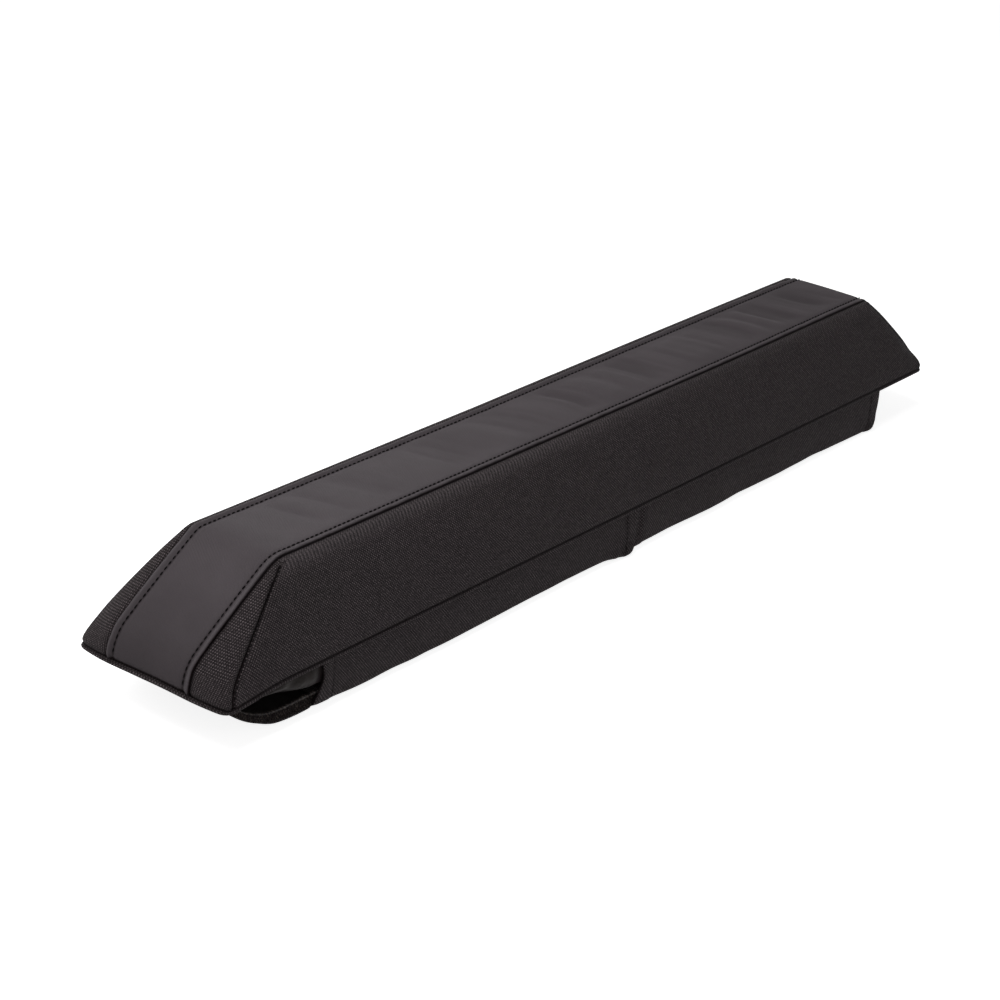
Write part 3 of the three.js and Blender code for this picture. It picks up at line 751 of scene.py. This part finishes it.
def side_patches(side, seed):
    """The flank and the two parts that turn on to the noses, as grids of outside, inside, cut and painted
    light.
    """
    seam_y = top_half + seam_gap
    lip = graded(1.0, 0.06, 0.25)
    shares = graded(flank_girth, 0.4, 1.7) / flank_girth
    down_z = mix(crest_z, seam_z + seam_gap / 2, shares)
    patches = []

    def add_patch(start, relief, calm, cut, painted_light):
        start[..., 2] -= droop(start[..., 0], start[..., 1])
        lain, outward = lay(start)
        patches.append((*cover_faces(lain, outward, relief + slack_at(lain) * calm), cut, painted_light))

    u = graded(2 * crest_half_length, 0.35, 2.1) / crest_half_length - 1
    lip_y = mix(seam_y, crest_half_width, lip)
    row_y = np.concatenate([lip_y[:-1], mix(crest_half_width, half_width, shares)])
    row_z = np.concatenate([np.full(len(lip) - 1, crest_z), down_z])
    row_share = np.concatenate([np.zeros(len(lip) - 1), shares])
    slit = np.where(row_share > dart_top, seam_gap / 2, 0)
    reach = np.where(row_share > 0, dart_x(row_share) - slit, crest_half_length)
    x = u[None, :] * reach[:, None]
    start = spots(x, side * row_y[:, None], row_z[:, None])
    girth = so_far(np.hypot(np.diff(row_y), np.diff(row_z)))[:, None]
    from_dart = np.where(row_share[:, None] > 0, reach[:, None] - np.abs(x), 99)
    from_base = girth[-1] - girth
    roll = 0.9 * ease(from_dart, 0, 9) * (mix(0.45, 1.15, ease(x, -330, -20)) if side > 0 else 0.8)
    relief, painted_light = side_relief(girth, from_dart, from_base, row_share[:, None], x, girth, seed, roll)
    calm = ease(girth, 5, 12) * ease(from_dart, 0, 12) * ease(from_base, 0, 6)
    add_patch(start, relief, calm, on_cloth(x, girth), painted_light)

    turn = graded(1.0, 0.05, 0.2)
    share = shares[:, None]
    corner_x, corner_y, z = corner_at(share)
    for end in (-1, 1):
        y = mix(seam_y, corner_y, lip[None, :])
        on_nose = corner_x - nose_bow(y, z) * ease(share, 0, 0.12)
        dart = dart_x(share) + np.where(share <= dart_top, 0, seam_gap / 2)
        round_x = mix(on_nose[:, -1:], dart, turn[None, 1:])
        x = np.concatenate([on_nose, round_x], 1)
        y = np.concatenate([y, np.broadcast_to(corner_y, round_x.shape)], 1)
        start = spots(end * x, side * y, z)
        across = so_far(np.hypot(np.diff(x, axis=1), np.diff(y, axis=1)))
        down = share * corner_length
        from_dart = across[:, -1:] - across
        from_base = (1 - share) * flank_girth + 0 * across
        relief, painted_light = side_relief(across, from_dart, from_base, share, across, down, seed + 5 + end, 0)
        calm = ease(across, 2, 8) * ease(from_dart, 0, 10) * ease(from_base, 0, 6) * ease(share, 0.03, 0.2)
        patch_cut = on_cloth(0.8 * down + 0.6 * across, 0.8 * across - 0.6 * down)
        add_patch(start, relief, calm, patch_cut, painted_light)
        if end < 0:
            patches[-1] = tuple(grid[:, ::-1] for grid in patches[-1])
    return [tuple(grid.swapaxes(0, 1) for grid in patch) for patch in patches]


for name, side, seed in (("side_panel_front", -1, 40), ("side_panel_rear", 1, 60)):
    panel = cloth_piece(name + "_cloth", side_patches(side, seed), turned=side < 0)
    dressed(panel, woven_finish, "woven_cloth", name)


# Base panel. The underside of the cover, of the same woven cloth: a shallow tray whose lip turns up
# all round to the seam below the noses and the side panels.
lip_height = 2.65


def base_stations(half):
    """Stations across the base from lip to lip, fine at its edges."""
    lip = half + np.array([lip_height, 2.2, 1.7, 1.1, 0.5])
    inner = half - graded(2 * half, 0.5, 3.0)
    return np.concatenate([lip, inner, -lip[::-1]])[::-1]


us, vs = base_stations(half_length)[:, None], base_stations(half_width)[None, :]
up = np.maximum(np.maximum(np.abs(us) - half_length, np.abs(vs) - half_width), 0)
y = vs * half_width / (half_width + up)
x = us * (half_length - nose_bow(y, base_z)) / (half_length + up)
lain, outward = lay(spots(x, y, base_z + up - droop(x, y)))
from_rim = np.maximum(lip_height - up, 0)
inward = np.minimum(half_length - np.abs(us), half_width - np.abs(vs))
rise = -0.6 * bell(from_rim, 0.9) * (up > 0) + 0.25 * bell(from_rim - 2.2, 1.0)
rise = rise + 0.25 * lumps(us / 40, vs / 30, 71) * ease(inward, 4, 20)
at_nose = ease(-us, 330, 380) * (1 - ease(inward, 2, 12)) * ease(from_rim, 0.8, 2.2)
rise = rise + 0.9 * at_nose * (1 - 0.7 * (vs / half_width) ** 2)
# Painted shade in the seam groove at the foot of the lip.
rim_painted_shade = -1.0 * bell(from_rim, 0.8) * (up > 0)
base_patch = (*cover_faces(lain, outward, rise), on_cloth(us, vs), rim_painted_shade)
base_panel = cloth_piece("base_panel_cloth", [base_patch])
dressed(base_panel, woven_finish, "woven_cloth", "base_panel")


# Topstitching. Black thread in lockstitch along the inner side of both welts, drawn down so that
# each stitch lies in the groove. The stitches are laid along the cloth at an even pitch.
thread_finish, tree, shader = new_material("sewing thread", Roughness=0.8, Specular_IOR_Level=0.06)
twist = texture(tree, "Noise", place_in(tree), Scale=2400.0, Detail=1.0)
black = blended(tree, twist, (0.002, 0.0017, 0.0018), (0.007, 0.006, 0.0063))
painted(tree, shader, black, twist, depth=0.0001)

stitch_tree, given, result = effect_group(
    "stitch line", "GeometryNodeTree",
    {"Line": "Geometry", "Pitch": "Float", "Stitch Length": "Float", "Thread": "Float"},
    {"Stitches": "Geometry"},
)
kinds = ("GeometryNodeResampleCurve", "GeometryNodeMeshUVSphere", "GeometryNodeInputTangent",
         "FunctionNodeAlignRotationToVector", "ShaderNodeCombineXYZ", "GeometryNodeInstanceOnPoints",
         "GeometryNodeRealizeInstances", "GeometryNodeSetMaterial")
even, grain, tangent, aimed, drawn, set_down, real, coloured = map(stitch_tree.nodes.new, kinds)
even.mode = "LENGTH"
aimed.axis = "X"
for label, value in (("Segments", 6), ("Rings", 5), ("Radius", 0.5)):
    grain.inputs[label].default_value = value
coloured.inputs["Material"].default_value = thread_finish
for source, out, target, label in (
    (given, "Line", even, "Curve"), (given, "Pitch", even, "Length"), (tangent, "Tangent", aimed, "Vector"),
    (given, "Stitch Length", drawn, "X"), (given, "Thread", drawn, "Y"), (given, "Thread", drawn, "Z"),
    (even, "Curve", set_down, "Points"), (grain, "Mesh", set_down, "Instance"),
    (aimed, "Rotation", set_down, "Rotation"), (drawn, "Vector", set_down, "Scale"),
    (set_down, "Instances", real, "Geometry"), (real, "Geometry", coloured, "Geometry"),
    (coloured, "Geometry", result, "Stitches"),
):
    stitch_tree.links.new(source.outputs[out], target.inputs[label])


def stitched(name, lines, pitch, length, thread):
    """Stitches of one seam along lines of points; the lines and the sizes are in millimetres."""
    curve = bpy.data.curves.new(name, "CURVE")
    curve.dimensions = "3D"
    for line in lines:
        spline = curve.splines.new("POLY")
        spline.points.add(len(line) - 1)
        spots_and_weights = np.column_stack([line / 1000, np.ones(len(line))])
        spline.points.foreach_set("co", spots_and_weights.astype(np.float32).ravel())
    run = bpy.data.objects.new(name, curve)
    scene.collection.objects.link(run)
    sewing = run.modifiers.new("stitches", "NODES")
    sewing.node_group = stitch_tree
    sizes = {"Pitch": pitch, "Stitch Length": length, "Thread": thread}
    for item in stitch_tree.interface.items_tree:
        if item.name in sizes:
            sewing[item.identifier] = sizes[item.name] / 1000
    done = run.evaluated_get(bpy.context.evaluated_depsgraph_get())
    mesh = bpy.data.meshes.new_from_object(done)
    run.modifiers.clear()
    bpy.data.objects.remove(run)
    bpy.data.curves.remove(curve)
    mesh.name = name
    mesh.shade_smooth()
    seam = bpy.data.objects.new(name, mesh)
    scene.collection.objects.link(seam)
    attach(seam, "root")


for name, side in (("topstitching_front", -1), ("topstitching_rear", 1)):
    s, x, z = along_profile(2.0)
    keep = (s > 5) & (s < s.max() - 5)
    s, x, z = s[keep], x[keep], z[keep]
    y = np.full_like(x, side * (top_half - stitch_inset))
    lain, outward = lay(top_start(x, y, z))
    stitched(name, [lain + outward * -0.08], pitch=3.9, length=2.9, thread=0.88)

dart_lines = []
for end, side in ((-1, -1), (-1, 1), (1, -1), (1, 1)):
    share = np.linspace(dart_top + 0.01, 0.96, 60)
    _, corner_y, z = corner_at(share)
    x = end * (dart_x(share) - 1.3)
    lain, outward = lay(spots(x, side * corner_y, z - droop(x, side * corner_y)))
    dart_lines.append(lain + outward * -0.35)
stitched("dart_stitching", dart_lines, pitch=3.0, length=1.9, thread=0.8)


# Front wraps. The front of the sleeve, in two halves with a split between them: heavy woven cloth,
# sewn up under the cover's base seam, hemmed at its ends and folded under the cross bar.
sleeve_half = 51.9
wrap_cloth, lining_cloth, layer_gap = 0.8, 0.4, 0.3
near_hem_x, split_near, split_far, far_hem_x = -304.0, 6.5, 7.4, 323.0
hem_width = 12.0
fold_round = 2.6
front_wall_y = -(sleeve_half - wrap_cloth / 2)
flap_layers = {"loop": 1.1, "hook": 2.4, "front": 3.5}
curl_start_x, curl_length, curl_height = -half_length + 70, 59, 20.9
near_edge = ([0, 1.5, 3.4, 7, 10, 15, 18, 23, 27], [-8.5, -7.5, -5.6, -3, -1.2, 1.2, 2, 1.2, 0])


def floor_z(x):
    """Height of the sleeve's floor: it curls up to the nose at the near end."""
    return curl_height * (np.maximum(curl_start_x - x, 0) / curl_length) ** 2.3


def hanging(p):
    """The sleeve's own hang: its walls wave, and it sags to the far end and beside the split."""
    x, y, z = p[..., 0], p[..., 1], p[..., 2]
    low = np.clip(1 - z / base_z, 0, 1)
    wall = ease(np.abs(y), 38, 50) * np.sign(y)
    bulge = 0.7 * np.sin(math.pi * np.clip(z / base_z, 0, 1)) + 0.9 * low * lumps(x / 48, np.sign(y), 81)
    bulge = bulge + 0.35 * low * lumps(x / 17, np.sign(y) + 2, 82)
    open_end = ease(x, -330, -300)
    sag = 2.8 * ease(x, -316, -255) - 0.8 * ease(x, -350, -325)
    sag = sag + 0.3 * ease(x, 60, 200) + 1.9 * ease(x, 215, 322)
    at_split = bell(x + 6, 12.0) * low**2 * (y < -44) * (x < 7)
    bulge = bulge * (0.35 + 0.65 * open_end) + 2.4 * at_split
    return spots(x, y + wall * bulge, z - sag * low - 1.6 * at_split)


def wrap_section(side, x, flap_y, lap, rows):
    """Middle of a wrap's cloth: down its wall, round the fold and in along its flap."""
    wall_rows, fold_rows, flap_rows = rows
    wall_y = side * (sleeve_half - wrap_cloth / 2)
    floor = floor_z(x) + wrap_cloth / 2
    top = base_z - droop(x, wall_y) - layer_gap
    radius = np.minimum(fold_round, (top - floor) / 2)
    t = np.linspace(0, 1, wall_rows)
    wall = spots(x, wall_y + 0 * t, mix(top, floor + radius, t))
    a = np.linspace(0, math.pi / 2, fold_rows)[1:]
    fold = spots(x, wall_y - side * radius * (1 - np.cos(a)), floor + radius * (1 - np.sin(a)))
    t = np.concatenate([np.linspace(0, 0.14, 10)[1:], np.linspace(0.14, 1, flap_rows)[1:]])
    y = mix(wall_y - side * radius, flap_y, t)
    flap = spots(x, y, floor + lap(y))
    middle = np.concatenate([wall, fold, flap], 1)
    turn = np.concatenate([np.zeros(wall_rows), a, np.full(len(t), math.pi / 2)])
    outward = spots(0, side * np.cos(turn), -np.sin(turn)) + 0 * middle
    return middle, outward


def cloth_reach(middle):
    return so_far(np.linalg.norm(np.diff(middle, axis=1), axis=-1))


def front_lap(y):
    return flap_layers["front"] * ease(y, front_wall_y + fold_round + 0.6, front_wall_y + 7.4)


def hem_relief(x, middle, outward, start, end):
    """Shapes a front wrap's hemmed ends: moves the middle of its cloth, gives its rise and its painted
    shade.
    """
    height = middle[..., 2]
    upright = np.abs(outward[..., 1])
    from_end = np.minimum(x - start, end - x)
    toward = np.where(x - start < end - x, -1, 1)
    radius = np.where(toward > 0, 10.0, 1.5)
    below = np.clip((10.4 - height) / 10.0, 0, 1)
    fade = np.clip(1 - from_end / hem_width, 0, 1)
    if start == near_hem_x:
        crooked = np.where(x < (start + end) / 2, np.interp(height, *near_edge), 3.0 * ease(height, 10, 24))
        middle[..., 0] += crooked * fade * ease(upright, 0.6, 0.95)
    else:
        middle[..., 0] += 1.3 * ease(height, 8, 24) * fade * (x > start + 40) * (upright > 0.5)
    middle[..., 0] -= toward * radius * (1 - np.sqrt(1 - below**2)) * fade
    middle[..., 1] -= 2.0 * below * upright * fade * (radius > 2)
    hem = 1 - ease(from_end, hem_width - 0.8, hem_width + 0.8)
    groove = bell(from_end - hem_width + 1.6, 0.9)
    rise = 0.45 * hem - 0.45 * groove - 0.35 * bell(from_end, 0.8)
    # Painted shade at the hem's folded end and in its stitch groove.
    painted_light = -0.9 * bell(from_end, 0.6) - 0.5 * groove + 0 * height
    if start == near_hem_x:
        creased = bell(x + 11 - 1.2 * height, 0.8) * (1 - ease(height, 6, 9)) * (x > -20)
        folded = bell(x + 4.5 - 0.25 * height, 1.6) + bell(x + 11 - 0.2 * height, 1.9)
        rise = rise - 0.8 * creased - 0.3 * folded * ease(height, 2, 6)
        # The crease is painted in shade as well.
        painted_light = painted_light - 1.2 * creased
    return rise, painted_light


def wrap_patch(side, xs, flap_y, lap, thickness, depth, ends=None, rows=(16, 8, 24)):
    """A wrap or its lining as a grid; ends gives where a hemmed wrap starts and ends."""
    x = xs[:, None]
    middle, outward = wrap_section(side, x, flap_y, lap, rows)
    rise, painted_light = hem_relief(x, middle, outward, *ends) if ends else (0, 0)
    reach = cloth_reach(middle)
    # Painted shade along the cloth's top edge, where it meets the base seam.
    painted_light = painted_light + 0 * reach - 1.0 * bell(reach, 1.0)
    outside = middle + outward * (thickness / 2 - depth + rise * np.ones(reach.shape))[..., None]
    inside = middle + outward * (-thickness / 2 - depth)
    return hanging(outside), hanging(inside), on_cloth(x, reach), painted_light


front_flap_y = front_wall_y + 54.0
for name, ends in (("front_wrap_near", (near_hem_x, split_near)),
                   ("front_wrap_far", (split_far, far_hem_x))):
    xs = ends[0] + graded(ends[1] - ends[0], 0.4, 2.6)
    outside, inside, cut, painted_light = wrap_patch(-1, xs, front_flap_y, front_lap, wrap_cloth, 0, ends)
    if name == "front_wrap_far":
        on_wall = ease(outside[..., 2], 1.5, 7) * (outside[..., 1] < -40)
        behind = 1.7 * (1 - ease(xs, 12.0, 15.5))[:, None] * on_wall
        outside[..., 1] += behind
        inside[..., 1] += behind
    wrap = cloth_piece(name + "_cloth", [(outside, inside, cut, painted_light)])
    dressed(wrap, woven_finish, "woven_cloth", name)


# Rear wraps. The rear of the sleeve, whose flaps lie outermost under the bar. The near one runs on
# past the front wrap's hem, under the nose, where its floor curls up to leave a mouth for the bar.
mouth_x = -377.0
rear_split_near, rear_split_far = 4.5, 14.5


def rear_flap_y(x):
    """Where the rear wrap's flap ends: under the front wrap, and further out along the open mouth."""
    in_mouth = front_wall_y + mix(4.4, 0.9, ease(x, -362, -340))
    return mix(front_wall_y + 8.0, in_mouth, 1 - ease(x, near_hem_x - 6.5, near_hem_x - 2.5))


def no_lap(y):
    return 0 * y


for name, stands_for, start, end, cut_length in (
    ("rear_wrap_near", ("rear_wrap_near", "mouth_wall", "mouth_tongue"), mouth_x, rear_split_near, 0.398),
    ("rear_wrap_far", ("rear_wrap_far",), rear_split_far, far_hem_x, 0.325),
):
    xs = start + graded(end - start, 0.5, 2.6)
    patch = wrap_patch(1, xs, rear_flap_y(xs[:, None]), no_lap, wrap_cloth, 0, rows=(16, 8, 34))
    wrap = cloth_piece(name + "_cloth", [patch], turned=True)
    dressed(wrap, woven_finish, "woven_cloth", *stands_for)


# Linings. Smooth, slightly shiny cloth that faces the bar inside all four wraps, so that the sleeve
# slides on; it lies loose against the wraps and is caught in their seams and hems.
lining_finish, tree, shader = new_material("smooth lining", Roughness=0.5, Specular_IOR_Level=0.07,
                                           Sheen_Weight=0.02)
crease_relief_and_shade = texture(tree, "Noise", cloth_measure(tree), Scale=70.0, Detail=4.0, Distortion=0.6)
thread = texture(tree, "Noise", cloth_measure(tree), Scale=2200.0, Detail=1.0)
# The colour follows the crease relief: painted shade in the creases' hollows, lighter on their ridges.
lining_colour = blended(tree, crease_relief_and_shade, (0.005, 0.0038, 0.0034), (0.031, 0.0255, 0.0236))
relief = worked(tree, "MULTIPLY_ADD", thread, 0.06, crease_relief_and_shade)
painted(tree, shader, with_painted_light(tree, lining_colour), relief, depth=0.0011)

lining_depth = (wrap_cloth + lining_cloth) / 2 + layer_gap


def mouth_curtain():
    """The near front lining's slack end, which hangs out of the mouth behind the base seam."""
    start, end = -374.0, -293.0
    xs = (start + graded(end - start, 0.5, 1.6))[:, None]
    depth = 0.8 + 13.4 * ease(xs, -376, -304) ** 1.15
    out = 1.3 * (1 - ease(xs, -312, -304))
    t = np.linspace(0, 1, 44)[None, :]
    top = base_z - layer_gap - 0.3 - droop(xs, front_wall_y)
    fall = np.interp(t, [0, 0.2, 0.34, 0.46, 0.58, 0.8, 1], [0, 0.5, 0.84, 1.0, 0.93, 0.45, 0])
    inward = np.interp(t, [0, 0.1, 0.2, 0.28, 0.34, 0.4, 0.46, 0.58, 0.8, 1],
                       [0, -0.8, -1.1, -0.8, 0, 1.2, 2.6, 5, 10, 15])
    y = front_wall_y + 1.2 + np.where(inward < 0, inward * out, inward)
    z = top - depth * fall
    crumple = lumps(xs / 9 + 3 * t, 6 * t, 91) * np.sin(math.pi * np.minimum(t / 0.5, 1)) * out
    face = spots(xs, y - 0.65 * crumple, z - 0.35 * crumple * (t > 0.3))
    shaded = -1.0 * ease(t, 0.12, 0.44) - 0.6 * ease(-xs, 335, 360) - 0.8 * ease(xs, -310, -306)
    along, across = np.gradient(face, axis=0), np.gradient(face, axis=1)
    outward = np.cross(across, along)
    outward /= np.linalg.norm(outward, axis=-1, keepdims=True)
    return hanging(face), hanging(face - outward * lining_cloth), on_cloth(xs, cloth_reach(face)), shaded


tape_start_y = front_wall_y + 9.0
tape_edge = tape_start_y + 18.3
for name, side, start, end, flat in (
    ("front_lining_near", -1, near_hem_x + 12.0, rear_split_near - 12.0, (0.36, 0.082)),
    ("front_lining_far", -1, 26.5, far_hem_x - 12.0, (0.29, 0.082)),
    ("rear_lining_near", 1, mouth_x, rear_split_near, (0.385, 0.104)),
    ("rear_lining_far", 1, rear_split_far, far_hem_x, (0.312, 0.1)),
):
    xs = start + graded(end - start, 0.8, 3.2)
    if side < 0:
        patch = wrap_patch(-1, xs, front_flap_y, front_lap, lining_cloth, lining_depth, rows=(14, 7, 18))
    else:
        x = xs[:, None]
        edge = mix(tape_edge, rear_flap_y(x) + 1, 1 - ease(x, near_hem_x - 2, near_hem_x + 8))
        patch = wrap_patch(1, xs, edge, no_lap, lining_cloth, lining_depth, rows=(14, 7, 26))
    patches = [patch, mouth_curtain()] if name == "front_lining_near" else [patch]
    lining = cloth_piece(name + "_cloth", patches, turned=side > 0)
    dressed(lining, lining_finish, "lining", name)


# Hook and loop tapes. Nylon tape, woven flat at its edges: fuzzy loops on the rear flaps, stiff
# hooks on the front flaps over them. They hold the sleeve shut under the bar.
loop_finish, tree, shader = new_material("loop tape", Roughness=0.9, Sheen_Weight=0.25)
pile = texture(tree, "Noise", cloth_measure(tree), Scale=1500.0, Detail=4.0, Distortion=1.5)
loop_colour = blended(tree, pile, (0.010, 0.009, 0.0095), (0.032, 0.029, 0.030))
painted(tree, shader, loop_colour, pile, depth=0.0007)

hook_finish, tree, shader = new_material("hook tape", Roughness=0.55, Sheen_Weight=0.0)
cells = texture(tree, "Voronoi", cloth_measure(tree), out="Distance", Scale=900.0, Randomness=0.25)
hooks = less(tree, 1.0, cells)
hook_colour = blended(tree, hooks, (0.008, 0.0075, 0.008), (0.026, 0.024, 0.025))
painted(tree, shader, hook_colour, hooks, depth=0.0009)


def tape_patch(start, end, y, width, z, thickness):
    """A flat tape whose woven edges are thinner than its middle."""
    xs = (start + graded(end - start, 0.3, 2.4))[:, None]
    ys = graded(width, 0.15, 0.9)[None, :]
    edge = np.minimum(ys, width - ys)
    full = 0.45 + 0.55 * ease(edge, 0.9, 1.8) * ease(np.minimum(xs - start, end - xs), 0, 1.2)
    top = spots(xs, y + ys, z + thickness * full)
    return hanging(top), hanging(spots(xs, y + ys, z)), on_cloth(xs, ys)


tape_inset = 22.0
for end_name, start, end in (("near", near_hem_x, rear_split_near), ("far", rear_split_far, far_hem_x)):
    for kind, finish, y, width, thickness in (("loop", loop_finish, tape_start_y, 18.0, 1.0),
                                              ("hook", hook_finish, tape_start_y + 1.0, 16.0, 0.8)):
        patch = tape_patch(start + tape_inset, end - tape_inset, y, width, flap_layers[kind], thickness)
        tape = cloth_piece(f"{kind}_tape_{end_name}_strip", [patch])
        dressed(tape, finish, "tape", f"{kind}_tape_{end_name}")


# Binding. A ribbed grosgrain tape folded over the open, curled edge of the near rear wrap. It stands
# up along the mouth and runs on a little way behind the front wrap's hem.
binding_y = front_wall_y + 2.7
binding_finish = woven(
    "ribbed binding", dark=(0.001, 0.0008, 0.0007), light=(0.120, 0.0980, 0.0860),
    gap_shade=(0.001, 0.0008, 0.0008), pitches=(1.1, 1.3), roughness=0.75, depth=0.0006, contrast=3.5,
)
binding_end, rib_pitch = -288.0, 1.5
xs = (mouth_x + graded(binding_end - mouth_x, 0.25, 0.32))[:, None]
v = np.concatenate([[0, 0.05, 0.12], np.linspace(0.2, 0.8, 12), [0.88, 0.95, 1]])[None, :]
foot = floor_z(xs)
head = np.minimum(foot + mix(5.6, 8.2, ease(xs, -365, -315)), base_z - droop(xs, binding_y) - layer_gap)
z = mix(foot, head, v)
uneven = 0.5 * lumps(xs / 3.0, 0, 93)
rib = 0.5 * np.abs(np.sin(math.pi * xs / rib_pitch + 0.5 * v + uneven))
rib = rib * ease(np.minimum(v, 1 - v), 0.02, 0.12)
rolled = 0.35 * bell(v - 0.9, 0.07) - 0.30 * bell(v, 0.04) - 0.35 * bell(1 - v, 0.03)
groove = -0.25 * bell(v - 0.76, 0.05)
brought = 1.2 * ease(xs, -315, -311) * (1 - ease(xs, -305.5, -303.5)) * (1 - ease(v, 0.1, 0.5))
face_y = binding_y - rib - rolled - groove - brought
back_y = binding_y + 1.4 + 0 * face_y
# Partly painted light: painted shade in the groove below the rolled edge and a painted highlight on the
# rolled top edge; the whole tape is also darker, with uneven tone, and lighter along its lower band towards
# the front wrap's hem.
binding_tone_and_painted_light = -0.72 - 0.4 * bell(v - 0.78, 0.06) + 2.6 * bell(v - 0.93, 0.05)
low_light = 0.6 * (1 - ease(v, 0.15, 0.25)) * ease(xs, -345, -325)
binding_tone_and_painted_light = binding_tone_and_painted_light + 0.5 * lumps(xs / 1.5, v * 5, 94) + low_light
patch = (hanging(spots(xs, face_y, z)), hanging(spots(xs, back_y, z)), on_cloth(xs, z - foot), binding_tone_and_painted_light)
binding = cloth_piece("edge_binding_tape", [patch], turned=True)
dressed(binding, binding_finish, "tape", "edge_binding")


# Hem stitching. Each end of a front wrap is turned in and sewn down with one upright row of black
# stitches, from the base seam round the fold and on under the flap. The row at the far half's end
# beside the split is out of sight behind the near half, and is left out.
hem_lines = []
row_inset = hem_width - 1.6
for x in (near_hem_x + row_inset, split_near - row_inset, far_hem_x - row_inset):
    middle, outward = wrap_section(-1, np.array([[x]]), front_flap_y, front_lap, (30, 12, 30))
    hem_lines.append(hanging(middle + outward * 0.42)[0])
stitched("hem_stitching", hem_lines, pitch=3.4, length=2.5, thread=0.7)
